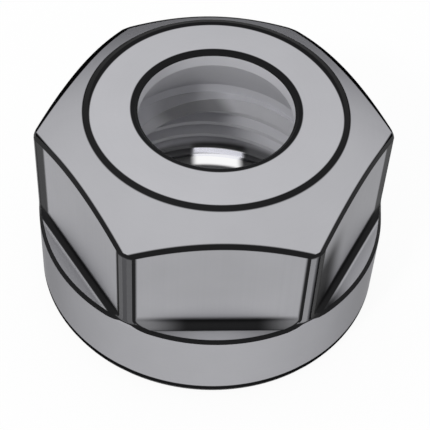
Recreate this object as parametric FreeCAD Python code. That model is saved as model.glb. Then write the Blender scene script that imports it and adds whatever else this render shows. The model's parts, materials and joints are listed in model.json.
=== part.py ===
"""Hexagonal clamping nut of a collet chuck: one turned, bored, threaded and milled piece of steel.

The nut stands on its back face, nose up. The origin is the centre of the back face, +Z is the
turning axis towards the nose, and two of the six flats face -Y and +Y. Sizes are in millimetres.

From the back face to the nose the inside is: a counterbore, an entry cone, the thread that
screws onto the tool holder, a relief groove where that thread runs out, an eccentric lip that
hooks into the collet's groove and draws the collet out, a recess for the collet's head, the
conical seat that presses the collet home, and the straight land of the nose opening. The
thread is bored to its minor diameter, and its fine helix isn't cut.
"""

import FreeCAD, Part
import math
import os

from FreeCAD import Vector

# Whole nut, from the back face to the nose
LENGTH = 18.0

# Thread onto the tool holder, M22 x 1.5
THREAD_DIAMETER = 22.0
THREAD_PITCH = 1.5
MINOR_DROP_PER_PITCH = 1.0825  # how much smaller an ISO thread's minor diameter is than its major one
COUNTERBORE_MARGIN = 0.7  # past the thread's outer radius
COUNTERBORE_DEPTH = 1.0
ENTRY_CONE_ANGLE = 60.0  # between the entry cone's wall and the axis
RELIEF_WIDTH = 1.8
RELIEF_MARGIN = 0.2  # past the thread's outer radius

# The collet that the nut holds: a taper collet of size 16
COLLET_HEAD_DIAMETER = 17.0
SEAT_HALF_ANGLE = 30.0
HEAD_CLEARANCE = 0.2  # round the collet's head in its recess
HEAD_RECESS_LENGTH = 0.9
LIP_THICKNESS = 1.5
LIP_HOOK = 1.4  # how far the lip reaches in past the collet's head, at -X
LIP_CLEARANCE = 0.1  # between the lip and the collet's head, at +X

# Nose
NOSE_OPENING_DIAMETER = 12.0
NOSE_LAND_LENGTH = 1.25
NOSE_RING_WIDTH = 3.95
NOSE_CONE_ANGLE = 35.0  # below the horizontal

# Body, collar and flats
WALL_OVER_THREAD = 1.3  # at the middle of a flat, which puts the flats 24.6 apart
FLAT_COUNT = 6
CORNER_WIDTH = 0.72  # round body left between two flats, which makes the body 28 across
COLLAR_HEIGHT = 7.05  # left round under the flats
CUTTER_CORNER_RADIUS = 0.6  # left where a flat meets the collar

# Edges
EDGE_RADIUS = 0.25  # round each flat, its ledge and the corners
RIM_CHAMFER = 0.25  # at the nose opening
BACK_CHAMFER = 0.5

# Working values: how far a cutting tool starts outside the metal, and what counts as touching
OVERCUT = 1.0
TOLERANCE = 0.01

thread_radius = THREAD_DIAMETER / 2
minor_radius = thread_radius - THREAD_PITCH * MINOR_DROP_PER_PITCH / 2
counterbore_radius = thread_radius + COUNTERBORE_MARGIN
entry_length = (counterbore_radius - minor_radius) / math.tan(math.radians(ENTRY_CONE_ANGLE))
relief_radius = thread_radius + RELIEF_MARGIN

head_radius = COLLET_HEAD_DIAMETER / 2
recess_radius = head_radius + HEAD_CLEARANCE
lip_far_reach = head_radius + LIP_CLEARANCE
lip_near_reach = head_radius - LIP_HOOK
lip_radius = (lip_far_reach + lip_near_reach) / 2
lip_offset = (lip_far_reach - lip_near_reach) / 2

nose_radius = NOSE_OPENING_DIAMETER / 2
ring_radius = nose_radius + NOSE_RING_WIDTH
seat_length = (recess_radius - nose_radius) / math.tan(math.radians(SEAT_HALF_ANGLE))

seat_top = LENGTH - NOSE_LAND_LENGTH
seat_bottom = seat_top - seat_length
lip_top = seat_bottom - HEAD_RECESS_LENGTH
lip_bottom = lip_top - LIP_THICKNESS
thread_top = lip_bottom - RELIEF_WIDTH
thread_bottom = COUNTERBORE_DEPTH + entry_length

# A flat runs straight from its middle to half a corner's width short of the line half way to the
# next flat, and the round body passes through its end.
flat_distance = thread_radius + WALL_OVER_THREAD
half_turn = math.pi / FLAT_COUNT
corner_reach = (flat_distance - CORNER_WIDTH / 2 * math.sin(half_turn)) / math.cos(half_turn)
body_radius = math.hypot(corner_reach, CORNER_WIDTH / 2)
cone_foot = LENGTH - (body_radius - ring_radius) * math.tan(math.radians(NOSE_CONE_ANGLE))


def turned(points):
    """A solid of revolution about the axis, from a closed outline of (radius, height) points."""
    corners = [Vector(radius, 0, level) for radius, level in points]
    outline = Part.makePolygon(corners + corners[:1])
    return Part.Face(outline).revolve(Vector(0, 0, 0), Vector(0, 0, 1), 360)


def turned_blank():
    """The outside as it leaves the lathe, not yet bored: round body, nose cone and front ring."""
    return turned(
        [
            (0, 0),
            (body_radius - BACK_CHAMFER, 0),
            (body_radius, BACK_CHAMFER),
            (body_radius, cone_foot),
            (ring_radius, LENGTH),
            (0, LENGTH),
        ]
    )


def flat_cutter():
    """What the milling cutter clears for the flat that faces -Y, down to the top of the collar."""
    reach = body_radius - flat_distance + OVERCUT
    corner = Vector(-body_radius, -flat_distance - reach, COLLAR_HEIGHT)
    block = Part.makeBox(2 * body_radius, reach, LENGTH, corner)
    foot = [
        edge
        for edge in block.Edges
        if edge.BoundBox.ZMax < COLLAR_HEIGHT + TOLERANCE
        and edge.BoundBox.YMin > -flat_distance - TOLERANCE
    ]
    return block.makeFillet(CUTTER_CORNER_RADIUS, foot)


def mill_flats(blank):
    """Cuts the flats, each of which leaves a half-moon ledge on top of the collar."""
    cutter = flat_cutter()
    for index in range(FLAT_COUNT):
        pass_cutter = cutter.copy()
        pass_cutter.rotate(Vector(0, 0, 0), Vector(0, 0, 1), index * 360 / FLAT_COUNT)
        blank = blank.cut(pass_cutter)
    return blank


def is_outer_milled_edge(edge):
    """True for an edge on the round body above the collar, or an arch where a flat meets the cone."""
    if edge.BoundBox.ZMin < COLLAR_HEIGHT - TOLERANCE:
        return False
    middle = edge.valueAt((edge.FirstParameter + edge.LastParameter) / 2)
    on_round_body = abs(math.hypot(middle.x, middle.y) - body_radius) < TOLERANCE
    return on_round_body or isinstance(edge.Curve, Part.Hyperbola)


def round_milled_edges(body):
    """Takes the sharpness off every outer edge that the milling left."""
    return body.makeFillet(EDGE_RADIUS, [edge for edge in body.Edges if is_outer_milled_edge(edge)])


def bored_space():
    """What is bored out on the axis, from the back face to the nose."""
    pilot_radius = lip_near_reach - OVERCUT
    return turned(
        [
            (0, -OVERCUT),
            (counterbore_radius, -OVERCUT),
            (counterbore_radius, COUNTERBORE_DEPTH),
            (minor_radius, thread_bottom),
            (minor_radius, thread_top),
            (relief_radius, thread_top),
            (relief_radius, lip_bottom),
            (pilot_radius, lip_bottom),
            (pilot_radius, lip_top),
            (recess_radius, lip_top),
            (recess_radius, seat_bottom),
            (nose_radius, seat_top),
            (nose_radius, LENGTH - RIM_CHAMFER),
            (nose_radius + RIM_CHAMFER + OVERCUT, LENGTH + OVERCUT),
            (0, LENGTH + OVERCUT),
        ]
    )


def lip_space():
    """The lip's own bore, off the axis towards +X, from inside the relief into the head's recess."""
    start = lip_bottom - RELIEF_WIDTH / 2
    end = lip_top + HEAD_RECESS_LENGTH / 2
    return Part.makeCylinder(lip_radius, end - start, Vector(lip_offset, 0, start))


def chuck_nut():
    body = round_milled_edges(mill_flats(turned_blank()))
    return body.cut(bored_space()).cut(lip_space())


def main():
    nut = chuck_nut()
    print("across the flats", round(2 * flat_distance, 3), "round body", round(2 * body_radius, 3))
    print("thread wall from", round(thread_bottom, 3), "to", round(thread_top, 3))
    print("lip from", round(lip_bottom, 3), "to", round(lip_top, 3), "seat from", round(seat_bottom, 3))
    print("valid", nut.isValid(), "solids", len(nut.Solids), "faces", len(nut.Faces))
    print("volume", round(nut.Volume, 2), "box", nut.BoundBox)
    os.makedirs("parts", exist_ok=True)
    nut.exportStep("parts/chuck_nut.step")


main()
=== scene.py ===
# %% [markdown]
# # A collet chuck's clamping nut
#
# The nut is one piece of steel, 28 mm across. A lathe turned its outside and its bore, a tap cut
# its thread, and a milling cutter took six flats for a spanner off the round body. This lesson
# makes it the same way: turn, mill, break the edges, bore, tap, and then finish the metal.

# %% Load the frame
import bmesh
import bpy
import json
import math

from mathutils import Matrix, Quaternion, Vector


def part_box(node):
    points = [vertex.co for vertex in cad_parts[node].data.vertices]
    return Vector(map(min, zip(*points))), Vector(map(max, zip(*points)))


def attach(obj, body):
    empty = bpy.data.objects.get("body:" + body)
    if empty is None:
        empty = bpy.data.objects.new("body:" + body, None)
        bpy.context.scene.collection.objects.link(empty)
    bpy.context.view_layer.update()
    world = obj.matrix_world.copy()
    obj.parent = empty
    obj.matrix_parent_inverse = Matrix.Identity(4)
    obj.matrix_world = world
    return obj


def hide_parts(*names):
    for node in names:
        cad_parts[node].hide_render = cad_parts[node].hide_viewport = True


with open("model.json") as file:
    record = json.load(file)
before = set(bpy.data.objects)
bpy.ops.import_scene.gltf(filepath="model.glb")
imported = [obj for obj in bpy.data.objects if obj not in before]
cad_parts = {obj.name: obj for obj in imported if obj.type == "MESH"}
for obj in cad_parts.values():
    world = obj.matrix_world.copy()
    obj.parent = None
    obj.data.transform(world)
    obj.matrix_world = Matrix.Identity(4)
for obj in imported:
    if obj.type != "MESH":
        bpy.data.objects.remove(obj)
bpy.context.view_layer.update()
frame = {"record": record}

# %% [markdown]
# ## Sizes
#
# Blender works in metres, but a nut is easier to think about in millimetres, and mesh tools that
# look for points in the same place behave better on numbers near one. So the nut is modelled in
# millimetres and shrunk at the end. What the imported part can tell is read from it: its length,
# its round body, how far out its flats are, and the radii of its thread and nose opening. The
# rest are values of our own, and each is written down where it is first needed.

# %% Sizes in millimetres
METRE = 1000.0

node_low, node_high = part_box("chuck_nut")
BODY_RADIUS = node_high.x * METRE
LENGTH = node_high.z * METRE

mounts = {mount["name"]: mount for mount in frame["record"]["mounts"]}
MINOR_RADIUS = mounts["holder_thread"]["dims"]["r_mm"]
NOSE_RADIUS = mounts["nose_opening"]["dims"]["r_mm"]
FLAT_DISTANCE = -mounts["spanner_flats"]["pos_m"][1] * METRE

RING_WIDTH = 3.95
CONE_SLOPE = math.tan(math.radians(35))
COLLAR_HEIGHT = 7.05
BACK_CHAMFER = 0.5

FLATS = 6
HALF_FLAT_TURN = math.pi / FLATS
HALF_CORNER = HALF_FLAT_TURN - math.acos(FLAT_DISTANCE / BODY_RADIUS)
RING_RADIUS = NOSE_RADIUS + RING_WIDTH
CONE_FOOT = LENGTH - (BODY_RADIUS - RING_RADIUS) * CONE_SLOPE
print("the round body is", round(BODY_RADIUS, 3), "in radius and", round(LENGTH, 3), "long")
print("its flats are", round(FLAT_DISTANCE, 3), "from the axis")
print("a corner spans", round(math.degrees(2 * HALF_CORNER), 2), "degrees")

# %% [markdown]
# ## Drawing and turning
#
# A lathe makes a shape from its profile alone. Here a profile is a line through points, each a
# radius and a height, in a half plane at some angle round the axis. bmesh's spin operator sweeps
# that line round the axis, a given number of steps for a given angle. Spinning can leave two
# points in one place, on the axis and where the turn closes, so those are merged, and then the
# faces are told which way is out.

# %% Draw a profile and spin it
def draw_profile(mesh, points, angle=0.0):
    """Draws a line through (radius, height) points, in a half plane at an angle round the axis."""
    corners = [
        mesh.verts.new((radius * math.cos(angle), radius * math.sin(angle), height))
        for radius, height in points
    ]
    return corners + [mesh.edges.new(pair) for pair in zip(corners, corners[1:])]


def spin(mesh, line, angle, steps, rise=0.0):
    """Sweeps a line round the axis, climbing by the rise, and returns the line at the far end."""
    swept = bmesh.ops.spin(
        mesh,
        geom=line,
        cent=(0, 0, 0),
        axis=(0, 0, 1),
        dvec=(0, 0, rise / steps),
        angle=angle,
        steps=steps,
        use_merge=angle == math.tau,
    )
    return swept["geom_last"]


MERGE_DISTANCE = 0.002


def close_up(mesh):
    """Merges points that share a place, and turns every face outwards."""
    bmesh.ops.remove_doubles(mesh, verts=mesh.verts, dist=MERGE_DISTANCE)
    bmesh.ops.recalc_face_normals(mesh, faces=mesh.faces)


print("points closer than", MERGE_DISTANCE, "mm become one")

# %% [markdown]
# ## Six finishes
#
# Each way of cutting leaves its own surface. A face remembers its finish as a number, and the
# Boolean modifier keeps that number, so the faces are numbered while the cutters are made, and
# the materials are only hung on those numbers at the end.

# %% Number the finishes
FINISHES = ["turned", "collar", "milled", "edge", "bored", "tapped"]
TURNED, COLLAR, MILLED, EDGE, BORED, TAPPED = range(len(FINISHES))


def paint(mesh, finish):
    """Gives every face of a mesh one finish."""
    for face in mesh.faces:
        face.material_index = finish


def make_object(mesh, name):
    """Puts a mesh into the scene as an object with an empty place for each finish."""
    data = bpy.data.meshes.new(name)
    for _ in FINISHES:
        data.materials.append(None)
    mesh.to_mesh(data)
    mesh.free()
    made = bpy.data.objects.new(name, data)
    bpy.context.scene.collection.objects.link(made)
    return made


print("the finishes are", ", ".join(FINISHES))

# %% [markdown]
# ## The turned blank
#
# Collar and body are one cylinder, with a cone at the nose and a flat ring at its top. The sweep
# isn't even: a corner of the hexagon gets one wide step and the flat beside it many small ones,
# so that the edges cut later never fall on top of the cylinder's own lines. The collar gets its
# own finish up to a line just under its top edge, where the edge's dark line will hide the join.

# %% Turn the blank
FLAT_STEPS = 26
CORNER_MARGIN = math.radians(0.9)
COLLAR_JOIN = COLLAR_HEIGHT - 0.3


def turned_blank():
    corner = 2 * (HALF_CORNER + CORNER_MARGIN)
    mesh = bmesh.new()
    line = draw_profile(
        mesh,
        [
            (0, 0),
            (BODY_RADIUS - BACK_CHAMFER, 0),
            (BODY_RADIUS, BACK_CHAMFER),
            (BODY_RADIUS, COLLAR_JOIN),
            (BODY_RADIUS, CONE_FOOT),
            (RING_RADIUS, LENGTH),
            (0, LENGTH),
        ],
        angle=corner / 2,
    )
    for _ in range(FLATS):
        line = spin(mesh, line, 2 * HALF_FLAT_TURN - corner, FLAT_STEPS)
        line = spin(mesh, line, corner, 1)
    close_up(mesh)
    paint(mesh, TURNED)
    # The collar's own finish carries its painted shade.
    for face in mesh.faces:
        if face.calc_center_median().z < COLLAR_JOIN:
            face.material_index = COLLAR
    return make_object(mesh, "chuck_nut_body")


nut = turned_blank()
print("the blank has", len(nut.data.polygons), "faces")

# %% [markdown]
# ## The milled hexagon
#
# Six passes of a cutter could be six blocks to subtract. But what they leave is simpler: a
# hexagonal bar that flares at its foot into a wide base, by the radius of the cutter's corner.
# A spin in six steps makes exactly that, because six steps of a profile are six flat sides. The
# metal that is in both the blank and this bar is the nut, with a half-moon ledge under each flat.

# %% Keep what lies in both the blank and the hexagon
def combine(target, tool, operation):
    """Cuts a target with a tool, or keeps what both hold, and throws the tool away."""
    cut = target.modifiers.new(operation.lower(), "BOOLEAN")
    cut.object = tool
    cut.operation = operation
    cut.solver = "EXACT"
    evaluated = target.evaluated_get(bpy.context.evaluated_depsgraph_get())
    result = bpy.data.meshes.new_from_object(evaluated)
    target.modifiers.clear()
    target.data = result
    bpy.data.objects.remove(tool)
    print(operation.lower(), "leaves", len(result.polygons), "faces")


FOOT_RADIUS = 0.6
FOOT_STEPS = 9
QUARTER_TURN = math.pi / 2
OVERCUT = 1.0


def hexagonal_bar():
    centre_distance = FLAT_DISTANCE + FOOT_RADIUS
    centre_height = COLLAR_HEIGHT + FOOT_RADIUS
    side = [(0, LENGTH + OVERCUT), (FLAT_DISTANCE, LENGTH + OVERCUT)]
    for step in range(FOOT_STEPS + 1):
        turn = QUARTER_TURN * step / FOOT_STEPS
        distance = centre_distance - FOOT_RADIUS * math.cos(turn)
        side.append((distance, centre_height - FOOT_RADIUS * math.sin(turn)))
    base = BODY_RADIUS + OVERCUT
    side += [(base, COLLAR_HEIGHT), (base, -OVERCUT), (0, -OVERCUT)]
    to_corner = 1 / math.cos(HALF_FLAT_TURN)
    profile = [(distance * to_corner, height) for distance, height in side]
    mesh = bmesh.new()
    spin(mesh, draw_profile(mesh, profile), math.tau, FLATS)
    close_up(mesh)
    paint(mesh, MILLED)
    return make_object(mesh, "hexagonal_bar")


combine(nut, hexagonal_bar(), "INTERSECT")

# %% [markdown]
# ## Broken edges
#
# No machined edge stays sharp, and a hairline flat along it is what catches the eye. The bevel
# operator takes the edges whose two faces turn away from each other by more than a few degrees,
# which leaves out the cylinder's fine steps and the hollow foot. Its new faces get the edge
# finish.

# %% Bevel every outer edge
SHARP_TURN = math.radians(15)
EDGE_WIDTH = 0.38


def break_edges(target):
    mesh = bmesh.new()
    mesh.from_mesh(target.data)
    close_up(mesh)
    sharp = [
        edge
        for edge in mesh.edges
        if edge.is_manifold and edge.calc_face_angle_signed() > SHARP_TURN
    ]
    broken = bmesh.ops.bevel(
        mesh,
        geom=sharp,
        offset=EDGE_WIDTH,
        offset_type="WIDTH",
        affect="EDGES",
        segments=1,
        profile=0.5,
        material=-1,
        loop_slide=True,
    )
    for face in broken["faces"]:
        face.material_index = EDGE
    mesh.to_mesh(target.data)
    mesh.free()
    print("broke", len(sharp), "edges into", len(broken["faces"]), "faces")


break_edges(nut)

# %% [markdown]
# ## The bore
#
# Inside, from the back: a counterbore, an entry cone, the thread's wall, the groove where the
# thread runs out, the lip that hooks behind the collet's head, a recess for that head, the seat
# that presses the collet home, and the nose opening. One profile holds them all, and its spin is
# the space that a boring bar clears.

# %% Measure the bore
THREAD_RADIUS = 11.0
COUNTERBORE_RADIUS = THREAD_RADIUS + 0.7
COUNTERBORE_DEPTH = 1.0
ENTRY_SLOPE = math.tan(math.radians(60))
RELIEF_RADIUS = THREAD_RADIUS + 0.2
RELIEF_WIDTH = 1.8
HEAD_RADIUS = 8.5
RECESS_RADIUS = HEAD_RADIUS + 0.2
RECESS_LENGTH = 0.9
LIP_THICKNESS = 1.5
LIP_HOOK = 1.4
LIP_CLEARANCE = 0.1
SEAT_SLOPE = math.tan(math.radians(30))
NOSE_LAND = 1.25
RIM_CHAMFER = 0.25

seat_top = LENGTH - NOSE_LAND
seat_bottom = seat_top - (RECESS_RADIUS - NOSE_RADIUS) / SEAT_SLOPE
lip_top = seat_bottom - RECESS_LENGTH
lip_bottom = lip_top - LIP_THICKNESS
thread_top = lip_bottom - RELIEF_WIDTH
thread_bottom = COUNTERBORE_DEPTH + (COUNTERBORE_RADIUS - MINOR_RADIUS) / ENTRY_SLOPE
print("the thread runs from", round(thread_bottom, 2), "to", round(thread_top, 2))
print("the lip runs from", round(lip_bottom, 2), "to", round(lip_top, 2))

# %% Bore it
BORE_STEPS = 160


def bored_space():
    pilot_radius = HEAD_RADIUS - LIP_HOOK - OVERCUT
    mesh = bmesh.new()
    line = draw_profile(
        mesh,
        [
            (0, -OVERCUT),
            (COUNTERBORE_RADIUS, -OVERCUT),
            (COUNTERBORE_RADIUS, COUNTERBORE_DEPTH),
            (MINOR_RADIUS, thread_bottom),
            (MINOR_RADIUS, thread_top),
            (RELIEF_RADIUS, thread_top),
            (RELIEF_RADIUS, lip_bottom),
            (pilot_radius, lip_bottom),
            (pilot_radius, lip_top),
            (RECESS_RADIUS, lip_top),
            (RECESS_RADIUS, seat_bottom),
            (NOSE_RADIUS, seat_top),
            (NOSE_RADIUS, LENGTH - RIM_CHAMFER),
            (NOSE_RADIUS + RIM_CHAMFER + OVERCUT, LENGTH + OVERCUT),
            (0, LENGTH + OVERCUT),
        ],
    )
    spin(mesh, line, math.tau, BORE_STEPS)
    close_up(mesh)
    paint(mesh, BORED)
    for face in mesh.faces:
        if face.calc_center_median().z > LENGTH - RIM_CHAMFER:
            face.material_index = EDGE
    return make_object(mesh, "bored_space")


combine(nut, bored_space(), "DIFFERENCE")

# %% [markdown]
# ## The eccentric lip
#
# The lip's own bore is off the axis. On one side it lets the collet's head slip past, on the
# other it reaches into the collet's groove, so that unscrewing the nut pulls the collet out.

# %% Bore the lip off the axis
lip_radius = HEAD_RADIUS + (LIP_CLEARANCE - LIP_HOOK) / 2
lip_offset = (LIP_CLEARANCE + LIP_HOOK) / 2


def lip_space():
    low = lip_bottom - RELIEF_WIDTH / 2
    high = lip_top + RECESS_LENGTH / 2
    mesh = bmesh.new()
    bmesh.ops.create_cone(
        mesh,
        cap_ends=True,
        segments=BORE_STEPS,
        radius1=lip_radius,
        radius2=lip_radius,
        depth=high - low,
        matrix=Matrix.Translation((lip_offset, 0, (low + high) / 2)),
    )
    paint(mesh, BORED)
    return make_object(mesh, "lip_space")


combine(nut, lip_space(), "DIFFERENCE")
print("the lip's bore is", round(lip_radius, 3), "in radius and", round(lip_offset, 3), "off axis")

# %% [markdown]
# ## The thread
#
# A tap is a screw that cuts. Its tooth is a blunt V of 60 degrees, and spin can climb as it
# turns, so sweeping the tooth's outline a few turns makes the tap's helix. It starts in the open
# counterbore and ends in the groove, so neither end leaves a mark, and its two ends are filled to
# make it a closed solid.

# %% Tap the thread
PITCH = 1.5
TOOTH_TIP = PITCH / 8
TOOTH_SLOPE = math.tan(math.radians(30))
TOOTH_ROOT = MINOR_RADIUS - 0.15
TAP_START = -1.2
TAP_TURNS = 6.5
TAP_STEPS = 96


def tap():
    tip_half = TOOTH_TIP / 2
    root_half = tip_half + (THREAD_RADIUS - TOOTH_ROOT) * TOOTH_SLOPE
    tooth = [
        (TOOTH_ROOT, TAP_START - root_half),
        (THREAD_RADIUS, TAP_START - tip_half),
        (THREAD_RADIUS, TAP_START + tip_half),
        (TOOTH_ROOT, TAP_START + root_half),
    ]
    mesh = bmesh.new()
    line = draw_profile(mesh, tooth)
    line.append(mesh.edges.new((line[3], line[0])))
    steps = round(TAP_STEPS * TAP_TURNS)
    spin(mesh, line, math.tau * TAP_TURNS, steps, rise=PITCH * TAP_TURNS)
    ends = [edge for edge in mesh.edges if edge.is_boundary]
    bmesh.ops.holes_fill(mesh, edges=ends, sides=len(tooth))
    bmesh.ops.recalc_face_normals(mesh, faces=mesh.faces)
    paint(mesh, TAPPED)
    return make_object(mesh, "tap")


combine(nut, tap(), "DIFFERENCE")

# %% [markdown]
# ## Clean, shrink and smooth
#
# The Boolean modifier can lose a small face where points lie almost, but not quite, in one line.
# The tap's cut loses two in the counterbore's wall, so those gaps are filled first. The finished
# mesh goes back to metres, with its object left at the origin. Its faces are shaded smooth, and
# each edge that turns by more than a few degrees is marked sharp, so that the cylinder looks round
# while the flats and the broken edges stay crisp.

# %% Finish the mesh
SMOOTH_TURN = math.radians(11)
GAP_SIDES = 4


def fill_gaps(mesh):
    """Puts back the small faces that the tap's cut lost in the counterbore's wall."""
    gaps = [edge for edge in mesh.edges if edge.is_boundary]
    filled = bmesh.ops.holes_fill(mesh, edges=gaps, sides=GAP_SIDES)
    for face in filled["faces"]:
        face.material_index = BORED
    print("filled", len(filled["faces"]), "gaps in the counterbore's wall")


def finish_mesh(target):
    mesh = bmesh.new()
    mesh.from_mesh(target.data)
    fill_gaps(mesh)
    close_up(mesh)
    bmesh.ops.dissolve_degenerate(mesh, edges=mesh.edges, dist=MERGE_DISTANCE)
    open_edges = sum(not edge.is_manifold for edge in mesh.edges)
    for face in mesh.faces:
        face.smooth = True
    for edge in mesh.edges:
        edge.smooth = edge.is_manifold and edge.calc_face_angle() < SMOOTH_TURN
    bmesh.ops.scale(mesh, vec=(1 / METRE,) * 3, verts=mesh.verts)
    triangles = len(mesh.calc_loop_triangles())
    volume = mesh.calc_volume() * METRE**3
    mesh.to_mesh(target.data)
    mesh.free()
    print("the nut has", triangles, "triangles and", open_edges, "open edges")
    print("it holds", round(volume, 1), "mm3 of steel")


finish_mesh(nut)
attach(nut, "root")
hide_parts("chuck_nut")

# %% [markdown]
# ## Shader maths
#
# A material is a tree of small nodes. Writing each sum as nodes and links is hard to read, so one
# small class wraps the output of a node: adding or multiplying two of them adds the Math node.
# Every other kind of node comes from one method, which sets a node up and then plugs in its
# sockets.

# %% Wrap a socket
class Wire:
    """A node's output, on which arithmetic adds Math nodes. With no socket, it starts a tree."""

    def __init__(self, tree, socket=None):
        self.tree = tree
        self.socket = socket

    def node(self, kind, settings, sockets, output=0):
        """Adds a node of a kind: first its settings, then its sockets' values or wires."""
        made = self.tree.nodes.new(kind)
        for name, value in settings.items():
            setattr(made, name, value)
        for name, value in sockets.items():
            if isinstance(value, Wire):
                self.tree.links.new(value.socket, made.inputs[name])
            else:
                made.inputs[name].default_value = value
        return Wire(self.tree, made.outputs[output])

    def math(self, operation, *values):
        return self.node("ShaderNodeMath", {"operation": operation}, dict(enumerate(values)))

    def __add__(self, other):
        return self.math("ADD", self, other)

    def __sub__(self, other):
        return self.math("SUBTRACT", self, other)

    def __rsub__(self, other):
        return self.math("SUBTRACT", other, self)

    def __mul__(self, other):
        return self.math("MULTIPLY", self, other)

    def __abs__(self):
        return self.math("ABSOLUTE", self)

    __radd__ = __add__
    __rmul__ = __mul__

    def __or__(self, other):
        """Where either mask is."""
        return self.math("MAXIMUM", self, other)

    def __and__(self, other):
        """Where both masks are."""
        return self.math("MULTIPLY", self, other)

    def above(self, low, high):
        """0 below the low value, 1 above the high one, and smooth between."""
        return self.node(
            "ShaderNodeMapRange",
            {"interpolation_type": "SMOOTHSTEP"},
            {"Value": self, "From Min": low, "From Max": high},
        )

    def below(self, low, high):
        """1 below the low value, 0 above the high one, and smooth between."""
        return 1 - self.above(low, high)

    def near(self, middle, reach, fade):
        """1 within a reach of the middle value, fading to 0 beyond it."""
        return abs(self - middle).below(reach, reach + fade)

    def blend(self, first, second):
        """The first colour where this is 0, and the second where it is 1."""
        mixed = {"data_type": "RGBA"}
        return self.node("ShaderNodeMix", mixed, {0: self, 6: first, 7: second}, output=2)


print("a wire can be added, masked, faded and blended")

# %% [markdown]
# ## One recipe for machined steel
#
# All six finishes are the same metal. They differ in how bright they are, how rough, and which
# way the cutter's marks run. The marks are noise along one direction only: along the radius and
# the axis for turning, along the flat for milling. They tip the surface a little through a Bump
# node, and vary the roughness.

# %% The metal
MARK_ROUGHNESS = 0.10
MARK_DEPTH = 0.00002


def millimetres(start):
    """Where a point lies on its object, in millimetres: its place, x, y, z and radius."""
    place = start.node("ShaderNodeTexCoord", {}, {}, output="Object")
    sockets = {0: place, 1: (METRE,) * 3}
    scaled = start.node("ShaderNodeVectorMath", {"operation": "MULTIPLY"}, sockets)
    x, y, z = (
        start.node("ShaderNodeSeparateXYZ", {}, {"Vector": scaled}, output=axis) for axis in "XYZ"
    )
    return scaled, x, y, z, start.math("SQRT", x * x + y * y)


class Metal:
    """A metal material with places to plug in what varies over it."""

    def __init__(self, name):
        self.material = bpy.data.materials.new(name)
        self.material.use_nodes = True
        tree = self.material.node_tree
        self.shader = tree.nodes["Principled BSDF"]
        self.start = Wire(tree)
        self.place, self.x, self.y, self.z, self.radius = millimetres(self.start)
        angle = self.start.math("ARCTAN2", self.y, self.x)
        folded = self.start.math("FLOORED_MODULO", angle, 2 * HALF_FLAT_TURN) - HALF_FLAT_TURN
        self.along = self.radius * self.start.math("SINE", folded)
        self.outward = self.radius * self.start.math("COSINE", folded)

    def plug(self, name, value):
        """Sets one of the shader's sockets to a value or a wire."""
        if isinstance(value, Wire):
            self.shader.id_data.links.new(value.socket, self.shader.inputs[name])
        else:
            self.shader.inputs[name].default_value = value

    def streaks(self, along, per_mm):
        """Noise that changes only along one measure."""
        return self.start.node(
            "ShaderNodeTexNoise",
            {"noise_dimensions": "1D"},
            {"W": along, "Scale": per_mm, "Detail": 3.0, "Roughness": 0.6},
        )

    def clouds(self, per_mm):
        """Soft noise in every direction."""
        return self.start.node(
            "ShaderNodeTexNoise", {}, {"Vector": self.place, "Scale": per_mm, "Detail": 2.0}
        )

    def cut(self, marks, roughness, strength):
        """Lets the cutter's marks vary the roughness and tip the surface."""
        self.plug("Roughness", roughness + MARK_ROUGHNESS * marks)
        sockets = {"Height": marks, "Strength": strength, "Distance": MARK_DEPTH}
        self.plug("Normal", self.start.node("ShaderNodeBump", {}, sockets))


def grey(level, blue=1.05):
    """A steel grey: the same level of each colour, with a little more blue."""
    return level, level, level * blue, 1.0


def hang(finish, material):
    """Gives one of the nut's finishes its material."""
    nut.data.materials[finish] = material
    print(FINISHES[finish], "is", material.name, "with", len(material.node_tree.nodes), "nodes")


print("the marks change the roughness by up to", MARK_ROUGHNESS)

# %% [markdown]
# ## Dark lines along the edges
#
# The edges carry a dark line a little under a millimetre wide, partly dark steel at the edge
# and partly painted shade. The bevelled face is its middle, and the steel on both sides darkens
# towards it. The masks for that read the place on the nut: its radius, its height, and, for the
# flats, how far out and how far along the nearest flat a point lies. The lines aren't even: they
# are wider at the back of the nose, beside the corners at -X and +X and above the collar's back
# edge, and that extra width is painted shade.
#
# Between two flats a narrow strip of the round body is left. It has no lines of its own. Its steel
# is painted darker as a whole, as shade, and the strips beside the front and back flats, towards
# +X, have a painted highlight on one side and nearly black painted shade on the other.

# %% The corner strips
FADE = 0.10
CORNER_X = 7.0
STRIP_DEPTH = 0.25
STRIP_BOTTOM = COLLAR_HEIGHT + 0.15
STRIP_TOP = CONE_FOOT - 0.25
STRIP_FADE = 0.15
# The strips' greys are painted shade, with a painted highlight on their light side towards +X.
LEFT_STRIP_SHADE_GREY = 0.13
RIGHT_STRIP_LIT_AND_SHADED_GREYS = 0.30, 0.03


def corner_strips(metal):
    """Where the round body is left between two flats, with its broken edges."""
    above_collar = metal.z.above(STRIP_BOTTOM, STRIP_BOTTOM + STRIP_FADE)
    below_cone = metal.z.below(STRIP_TOP, STRIP_TOP + STRIP_FADE)
    surface = BODY_RADIUS - STRIP_DEPTH
    return metal.radius.above(surface, surface + FADE) & above_collar & below_cone


def strip_painted_shade(metal):
    """The strips' painted shade: even towards -X, and from a painted highlight to nearly black
    towards +X.
    """
    light, dark = RIGHT_STRIP_LIT_AND_SHADED_GREYS
    right = metal.x.above(CORNER_X - 2 * FADE, CORNER_X + FADE).blend(grey(light), grey(dark))
    return metal.x.above(-CORNER_X / 2, CORNER_X / 2).blend(grey(LEFT_STRIP_SHADE_GREY), right)


print("the strips stand out from", round(STRIP_BOTTOM, 2), "to", round(STRIP_TOP, 2))

# %% Lines on the turned faces
LINE = 0.20
OPENING_LINE = 0.52
# The wider line above the collar's back edge and the extra widths behind are painted shade.
BACK_SHADE_LINE = 0.60
BEHIND = -3.0, 6.0
RING_SHADE_EXTRA = 0.37
ARCH_SHADE_EXTRA = 0.55


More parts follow.
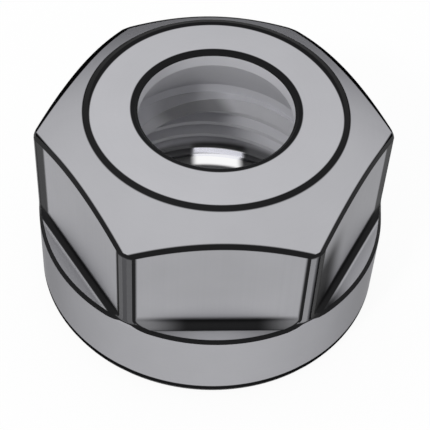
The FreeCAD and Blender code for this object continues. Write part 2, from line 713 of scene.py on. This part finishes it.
def nose_lines(metal):
    """Where the nose is dark: round the opening, round the ring and along the arches, with wider
    painted shade at the back.
    """
    behind = metal.y.above(*BEHIND)
    opening = metal.radius.below(NOSE_RADIUS + OPENING_LINE, NOSE_RADIUS + OPENING_LINE + FADE)
    inner = RING_RADIUS - LINE - RING_SHADE_EXTRA * behind
    outer = RING_RADIUS + LINE
    ring = metal.radius.above(inner - FADE, inner) & metal.radius.below(outer, outer + FADE)
    inside = FLAT_DISTANCE - LINE - ARCH_SHADE_EXTRA * behind
    arch = metal.outward.above(inside - FADE, inside)
    arch = arch & metal.z.above(COLLAR_HEIGHT, COLLAR_HEIGHT + FADE)
    return opening | ring | (arch & (1 - corner_strips(metal)))


def collar_lines(metal):
    """Where the collar is dark: under its top edge, and above its back edge, where the wider line
    is painted shade.
    """
    top = metal.z.above(COLLAR_HEIGHT - LINE - FADE, COLLAR_HEIGHT - LINE)
    foot = metal.z.below(BACK_CHAMFER + BACK_SHADE_LINE, BACK_CHAMFER + BACK_SHADE_LINE + FADE)
    chamfer = BODY_RADIUS - BACK_CHAMFER
    return (top | foot) & metal.radius.above(chamfer - LINE, chamfer)


print("a line reaches", LINE, "mm in from each edge")

# %% Lines on the flats
FLAT_HALF = math.sqrt(BODY_RADIUS**2 - FLAT_DISTANCE**2)
OUTER_X = 12.0, 13.0
# The extra width of the sides near the corners at -X and +X is painted shade.
OUTER_SHADE_EXTRA = 1.3
OUTER_SHADE_FADE = 0.3
OUTER_SHADE_EASE = 0.08


def milled_lines(metal):
    """Where the milled faces are dark: along the arch, both sides and the ledge's edge, with
    painted shade widening the sides near the corners at -X and +X.
    """
    outer = abs(metal.x).above(*OUTER_X)
    from_side = FLAT_HALF - abs(metal.along)
    width = LINE + OUTER_SHADE_EXTRA * outer
    sides = from_side.below(width, width + FADE + OUTER_SHADE_FADE * outer)
    sides = sides & (1 - OUTER_SHADE_EASE * outer)
    sides = sides & metal.z.above(COLLAR_HEIGHT + FADE, COLLAR_HEIGHT + FADE + LINE)
    arch_height = LENGTH - (metal.radius - RING_RADIUS) * CONE_SLOPE
    arch = (metal.z - arch_height).above(-LINE - FADE, -LINE)
    ledge = metal.radius.above(BODY_RADIUS - LINE - FADE, BODY_RADIUS - LINE)
    return arch | ledge | sides


print("a flat is", round(2 * FLAT_HALF, 2), "mm wide")

# %% [markdown]
# ## Turned faces
#
# The lathe's marks are rings: they follow the radius on the front ring and the height on the
# collar, and adding the two covers the cone between them. The collar has the same steel as the
# nose, painted a little darker as shade on its sides. A metal's Specular Tint is its colour at a
# glancing angle. Black there gives the far side of the nose the dark rim that blackened steel has,
# and a dark grey gives the sides of the collar a weaker one.

# %% Turned steel
LINE_GREY = 0.018
HEIGHT_SHARE = 0.8


def turned_steel(name, low, high, lines, glancing):
    """Steel between two greys, with rings from the lathe and dark lines."""
    metal = Metal(name)
    steel = metal.clouds(0.25).blend(grey(low), grey(high))
    steel = corner_strips(metal).blend(steel, strip_painted_shade(metal))
    metal.plug("Base Color", lines(metal).blend(steel, grey(LINE_GREY)))
    metal.plug("Metallic", 1.0)
    metal.plug("Specular Tint", grey(glancing, blue=1.0))
    rings = metal.streaks(metal.radius + metal.z * HEIGHT_SHARE, 6.0)
    metal.cut(rings, roughness=0.34, strength=0.15)
    return metal.material


hang(TURNED, turned_steel("turned_steel", 0.49, 0.53, nose_lines, glancing=0.0))
# The collar's darker greys are painted shade on its sides.
hang(COLLAR, turned_steel("collar_steel", 0.43, 0.47, collar_lines, glancing=0.35))

# %% [markdown]
# ## Milled flats
#
# The cutter's feed leaves upright marks that follow each flat. Six flats share one pattern: the
# angle round the axis is folded into one sixth of a turn, and the distance along the flat follows
# from it. The flats at the front and back lie between the corners near x = -7 and x = 7, and the
# four side flats beyond them.
#
# Just above the ledge the steel is painted dark, as shade in the hollow at the foot of each
# flat: all along the side flats, and mostly in the middle of the front and back ones. One side
# flat has a patch of painted shade at its near end. Above that shaded foot the front and back
# flats have a painted highlight in the middle, and their ledges are painted darker towards the
# ends, as shade. The two flats towards -X are painted lightest, as the side the light falls on.

# %% The ledge and the painted shade at the foot
LEDGE_START = FLAT_DISTANCE + 0.52
LEDGE_FADE = 0.12
SIDE_LEDGE_SHIFT = 0.15
# The dark foot of each flat, above the ledge, is painted shade.
FOOT_SHADE_TOP = COLLAR_HEIGHT + 0.88
FOOT_SHADE_FADE = 0.3
FOOT_SHADE_RISE = 0.3
RISE_X = CORNER_X, CORNER_X + 1.0
FOOT_SHADE_MIDDLE = 0.4
FOOT_SHADE_ENDS = 0.5
MIDDLE_HALF = 2.6
MIDDLE_FADE = 3.6


def bright_ledge(metal, beside):
    """The ledge under each flat, which starts a little nearer to the side flats."""
    outward = metal.outward + SIDE_LEDGE_SHIFT * beside
    return outward.above(LEDGE_START, LEDGE_START + LEDGE_FADE)


def painted_foot_shade(metal, beside):
    """The painted shade at the foot of each flat and in its hollow, weaker at the ends of the
    front and back flats.
    """
    height = metal.z - FOOT_SHADE_RISE * metal.x.above(*RISE_X)
    low = height.below(FOOT_SHADE_TOP - FOOT_SHADE_FADE, FOOT_SHADE_TOP + FOOT_SHADE_FADE)
    middle = metal.along.near(FOOT_SHADE_MIDDLE, MIDDLE_HALF, MIDDLE_FADE)
    share = FOOT_SHADE_ENDS + (1 - FOOT_SHADE_ENDS) * middle
    return (1 - bright_ledge(metal, beside)) & low & (share | beside)


# The dark patch beside the front flat, towards +X, is painted shade.
SHADE_PATCH_X = 8.6, 11.0
SHADE_PATCH_Y = -10.5, -7.5
SHADE_PATCH_Z = 12.0, 15.5
SHADE_PATCH_SHARE = 0.97


def painted_shade_patch(metal):
    """A soft patch of painted shade on the flat beside the front flat, towards +X."""
    beyond_corner = metal.x.above(CORNER_X - FADE, CORNER_X)
    near_end = metal.x.below(*SHADE_PATCH_X) & metal.y.below(*SHADE_PATCH_Y)
    return beyond_corner & near_end & metal.z.below(*SHADE_PATCH_Z) & SHADE_PATCH_SHARE


# The foot's painted shade and the patch of painted shade fade up to these heights.
print("the foot is rubbed up to", round(FOOT_SHADE_TOP, 2), "and the stain fades up to", SHADE_PATCH_Z[1])

# %% Milled steel
FLAT_GREY = 0.395
# The lighter grey of the flats towards -X is painted light.
LEFT_LIT_FLAT_GREY = 0.46
CLOUDING = 0.04
# The brighter grey low in the middle of the front and back flats is a painted highlight.
PAINTED_HIGHLIGHT_TOP = 8.5, 11.5
PAINTED_HIGHLIGHT_GREY = 0.48
LEDGE_MIDDLE = -0.2
LEDGE_HALF = 0.4
LEDGE_SPREAD = 4.4
# The ledges' greys are painted shade and light: darker at the ends in front and behind and towards
# -X.
FRONT_LEDGE_SHADE_GREYS = 0.30, 0.46
LEFT_LEDGE_SHADE_GREY = 0.38
RIGHT_LEDGE_LIT_GREY = 0.52
LEDGE_DULLNESS = 0.5


def flat_steel(metal, beside, left):
    """The flats' steel: painted lighter towards -X as lit, with a painted highlight low down in
    front and behind.
    """
    steel = metal.clouds(0.3).blend(
        left.blend(grey(FLAT_GREY), grey(LEFT_LIT_FLAT_GREY)),
        left.blend(grey(FLAT_GREY + CLOUDING), grey(LEFT_LIT_FLAT_GREY + CLOUDING)),
    )
    painted_highlight = metal.along.near(0.0, MIDDLE_HALF, MIDDLE_FADE) & metal.z.below(*PAINTED_HIGHLIGHT_TOP)
    return (painted_highlight & (1 - beside)).blend(steel, grey(PAINTED_HIGHLIGHT_GREY))


def ledge_steel(metal, beside, left):
    """The ledges' steel, painted as shade: darker towards their ends in front and behind, and
    towards -X.
    """
    ends, middle = FRONT_LEDGE_SHADE_GREYS
    front = metal.along.near(LEDGE_MIDDLE, LEDGE_HALF, LEDGE_SPREAD)
    front = front.blend(grey(ends), grey(middle))
    return beside.blend(front, left.blend(grey(RIGHT_LEDGE_LIT_GREY), grey(LEFT_LEDGE_SHADE_GREY)))


def milled_steel():
    metal = Metal("milled_steel")
    beside = abs(metal.x).above(CORNER_X - FADE, CORNER_X + FADE)
    left = metal.x.below(-CORNER_X - FADE, -CORNER_X + FADE)
    ledge = bright_ledge(metal, beside)
    steel = ledge.blend(flat_steel(metal, beside, left), ledge_steel(metal, beside, left))
    dark = milled_lines(metal) | painted_foot_shade(metal, beside) | painted_shade_patch(metal)
    metal.plug("Base Color", dark.blend(steel, grey(LINE_GREY)))
    metal.plug("Metallic", 1 - LEDGE_DULLNESS * (ledge & (1 - beside)))
    metal.plug("Specular Tint", grey(0.6, blue=1.0))
    metal.cut(metal.streaks(metal.along, 3.0), roughness=0.40, strength=0.12)
    return metal.material


hang(MILLED, milled_steel())

# %% [markdown]
# ## Edges, bore and thread
#
# The broken edges are black, apart from those of the corner strips, which take the strips' painted
# shade.
# The bore's steel is duller than the outside, so it shows the light that falls in rather than a
# reflection. The lip has a slanted patch of painted shade. At the bottom, where the thread starts,
# the steel is painted dark as shade, with a painted bright patch of daylight in it.

# %% Blackened edges
def edge_steel():
    metal = Metal("blackened_edge")
    marks = metal.streaks(metal.z, 4.0)
    black = marks.blend(grey(LINE_GREY * 0.8), grey(LINE_GREY * 1.2))
    metal.plug("Base Color", corner_strips(metal).blend(black, strip_painted_shade(metal)))
    metal.plug("Metallic", 1.0)
    metal.cut(marks, roughness=0.5, strength=0.15)
    return metal.material


hang(EDGE, edge_steel())

# %% Painted shade and a painted daylight patch in the bore
# The lip's slanted dark patch is painted shade.
LIP_SHADE_X = -1.3
LIP_SHADE_HALF = 1.8
LIP_SHADE_SLANT = 0.6
LIP_SHADE_GREY = 0.24
LIP_SHADE_REACH = LIP_THICKNESS / 2 - 0.05
# The dark steel at the bottom of the thread is painted shade.
LOW_SHADE_TOP = thread_bottom + 1.25
LOW_SHADE_FADE = 0.3
LOW_SHADE_SPREAD = 0.8
LOW_SHADE_GREYS = 0.20, 0.03
# The bright patch at the thread's start is painted light, a patch of daylight.
DAYLIGHT_PATCH_TOP = thread_bottom + 0.9
DAYLIGHT_X = 1.25
DAYLIGHT_PATCH_HALF = 2.0
DAYLIGHT_PATCH_SPREAD = 0.6
DAYLIGHT_PATCH_GREY = 0.92
DAYLIGHT_PATCH_POLISH = 0.34


def lip_painted_shade(metal):
    """A slanted patch of painted shade on the lip's bore."""
    height = metal.z - (lip_top + lip_bottom) / 2
    on_lip = height.near(0.0, LIP_SHADE_REACH, FADE)
    slanted = metal.x + LIP_SHADE_SLANT * height
    return on_lip & slanted.near(LIP_SHADE_X, LIP_SHADE_HALF, LIP_SHADE_HALF)


def painted_low_shade(metal, steel):
    """The steel with painted shade where the thread starts, darkest round the painted daylight
    patch.
    """
    faint, deep = LOW_SHADE_GREYS
    low_shade = metal.x.near(DAYLIGHT_X, DAYLIGHT_PATCH_HALF, LOW_SHADE_SPREAD).blend(grey(faint), grey(deep))
    return metal.z.below(LOW_SHADE_TOP, LOW_SHADE_TOP + LOW_SHADE_FADE).blend(steel, low_shade)


def painted_daylight_patch(metal):
    """Where the thread's start has a painted bright patch of daylight."""
    low = metal.z.below(DAYLIGHT_PATCH_TOP - FADE, DAYLIGHT_PATCH_TOP + FADE)
    return low & metal.x.near(DAYLIGHT_X, DAYLIGHT_PATCH_HALF, DAYLIGHT_PATCH_SPREAD)


# The low painted shade and the painted daylight patch reach up to these heights.
print("the oil reaches up to", round(LOW_SHADE_TOP, 2), "and the wear up to", round(DAYLIGHT_PATCH_TOP, 2))

# %% Bored and tapped steel
def bored_steel(name, low, high, per_mm, metallic):
    """Dull steel between two greys, whose marks follow the axis."""
    metal = Metal(name)
    steel = metal.clouds(0.4).blend(grey(low), grey(high))
    steel = painted_low_shade(metal, lip_painted_shade(metal).blend(steel, grey(LIP_SHADE_GREY)))
    daylight_patch = painted_daylight_patch(metal)
    metal.plug("Base Color", daylight_patch.blend(steel, grey(DAYLIGHT_PATCH_GREY)))
    metal.plug("Metallic", metallic + (1 - metallic) * daylight_patch)
    roughness = 0.46 - DAYLIGHT_PATCH_POLISH * daylight_patch
    metal.cut(metal.streaks(metal.z, per_mm), roughness, strength=0.15)
    return metal.material


hang(BORED, bored_steel("bored_steel", 0.58, 0.64, 6.0, metallic=0.15))
hang(TAPPED, bored_steel("tapped_steel", 0.66, 0.72, 2.0, metallic=0.1))

# %% [markdown]
# ## Floor and light
#
# The nut stands on a plain pale floor in a pale room. Rays from the camera and mirror-like rays
# from the metal see that floor mostly as plain white, so the metal has something bright to
# reflect, while a little of the real floor still shows its soft shadow. Round the edge of the bore
# the floor is darker, because little light gets there, apart from one patch of daylight.
#
# There are two lamps. The one overhead is mirrored in the metal. The one on the left isn't, so it
# shows only on what is dull, and that is mostly the bore.

# %% The floor
FLOOR_SIZE = 3.0
FLOOR_GREY = 0.8
SHADED_GREY = 0.4
PLAIN_WHITE = 0.93
SHADED_RADIUS = 10.0
SHADED_HALF = 2.0
SHADED_FADE = 0.4
DAYLIGHT_RADIUS = 10.5
DAYLIGHT_HALF = 1.7
DAYLIGHT_SPREAD = 0.8


def shaded_ring(start):
    """Where the floor inside the bore is darker."""
    _, x, _, _, radius = millimetres(start)
    daylight = x.near(DAYLIGHT_X, DAYLIGHT_HALF, DAYLIGHT_SPREAD)
    daylight = daylight & radius.above(DAYLIGHT_RADIUS, DAYLIGHT_RADIUS + SHADED_FADE)
    return radius.near(SHADED_RADIUS, SHADED_HALF, SHADED_FADE) & (1 - daylight)


def pale_floor():
    mesh = bmesh.new()
    bmesh.ops.create_grid(mesh, x_segments=1, y_segments=1, size=FLOOR_SIZE / 2)
    data = bpy.data.meshes.new("floor")
    mesh.to_mesh(data)
    mesh.free()
    floor = bpy.data.objects.new("floor", data)
    bpy.context.scene.collection.objects.link(floor)
    material = bpy.data.materials.new("pale_floor")
    material.use_nodes = True
    tree = material.node_tree
    tree.nodes.clear()
    start = Wire(tree)
    seen = start.node("ShaderNodeLightPath", {}, {}, output="Is Camera Ray")
    mirrored = start.node("ShaderNodeLightPath", {}, {}, output="Is Glossy Ray")
    shaded = shaded_ring(start)
    colour = shaded.blend(grey(FLOOR_GREY, blue=1.0), grey(SHADED_GREY, blue=1.0))
    matt = start.node("ShaderNodeBsdfDiffuse", {}, {"Color": colour})
    glow = start.node("ShaderNodeEmission", {}, {"Color": grey(1.0, blue=1.0), "Strength": 1.0})
    share = (seen | mirrored) * PLAIN_WHITE * (1 - shaded)
    surface = start.node("ShaderNodeMixShader", {}, {0: share, 1: matt, 2: glow})
    output = tree.nodes.new("ShaderNodeOutputMaterial")
    tree.links.new(surface.socket, output.inputs["Surface"])
    data.materials.append(material)
    return floor


pale_floor()
print("the floor is", FLOOR_SIZE, "m wide")

# %% The room
ROOM_LIGHT = 0.88


def pale_room():
    world = bpy.data.worlds.new("pale_room")
    bpy.context.scene.world = world
    world.use_nodes = True
    tree = world.node_tree
    seen = Wire(tree).node("ShaderNodeLightPath", {}, {}, output="Is Camera Ray")
    background = tree.nodes["Background"]
    background.inputs["Color"].default_value = grey(1.0, blue=1.0)
    strength = ROOM_LIGHT + seen * (1 - ROOM_LIGHT)
    tree.links.new(strength.socket, background.inputs["Strength"])


pale_room()
print("the room's light has a strength of", ROOM_LIGHT)

# %% The lamps
def soft_lamp(name, place, size, power, mirrored=True):
    """A square lamp that faces the nut, seen in the metal or only lighting it."""
    data = bpy.data.lights.new(name, "AREA")
    data.size = size
    data.energy = power
    lamp = bpy.data.objects.new(name, data)
    lamp.visible_glossy = mirrored
    lamp.location = place
    lamp.rotation_mode = "QUATERNION"
    lamp.rotation_quaternion = (-Vector(place)).to_track_quat("-Z", "Y")
    bpy.context.scene.collection.objects.link(lamp)
    print(name, "gives", power, "W from", round(Vector(place).length, 3), "m away")


soft_lamp("overhead_lamp", (-0.10, 0.12, 0.45), size=0.30, power=0.2)
soft_lamp("left_lamp", (-0.239, -0.285, 0.349), size=0.06, power=0.85, mirrored=False)

# %% [markdown]
# ## Camera
#
# The camera looks down on the nose by about fifty degrees and leans a little. Its place comes from
# a fit to the nut's outline: how far it stands, how long its lens is, and which way it turns.

# %% The camera
CAMERA_DISTANCE = 0.11261
CAMERA_ELEVATION = math.radians(50.03)
CAMERA_AZIMUTH = math.radians(4.87)
CAMERA_ROLL = math.radians(3.55)
AIM_HEIGHT = 0.0042
FRAME_PIXELS = 430
FOCAL_PIXELS = 1346.5
AIM_PIXEL = (209.55, 224.75)
NEAREST = 0.001

data = bpy.data.cameras.new("camera")
data.lens = data.sensor_width * FOCAL_PIXELS / FRAME_PIXELS
data.shift_x = (FRAME_PIXELS / 2 - AIM_PIXEL[0]) / FRAME_PIXELS
data.shift_y = (AIM_PIXEL[1] - FRAME_PIXELS / 2) / FRAME_PIXELS
data.clip_start = NEAREST
camera = bpy.data.objects.new("camera", data)
bpy.context.scene.collection.objects.link(camera)
bpy.context.scene.camera = camera

aim = Vector((0, 0, AIM_HEIGHT))
level = CAMERA_DISTANCE * math.cos(CAMERA_ELEVATION)
camera.location = aim + Vector(
    (
        -level * math.sin(CAMERA_AZIMUTH),
        -level * math.cos(CAMERA_AZIMUTH),
        CAMERA_DISTANCE * math.sin(CAMERA_ELEVATION),
    )
)
to_aim = (aim - camera.location).to_track_quat("-Z", "Y")
camera.rotation_mode = "QUATERNION"
camera.rotation_quaternion = to_aim @ Quaternion((0, 0, 1), CAMERA_ROLL)
bpy.context.scene.view_settings.view_transform = "Standard"
print("the camera stands at", tuple(round(value, 4) for value in camera.location))
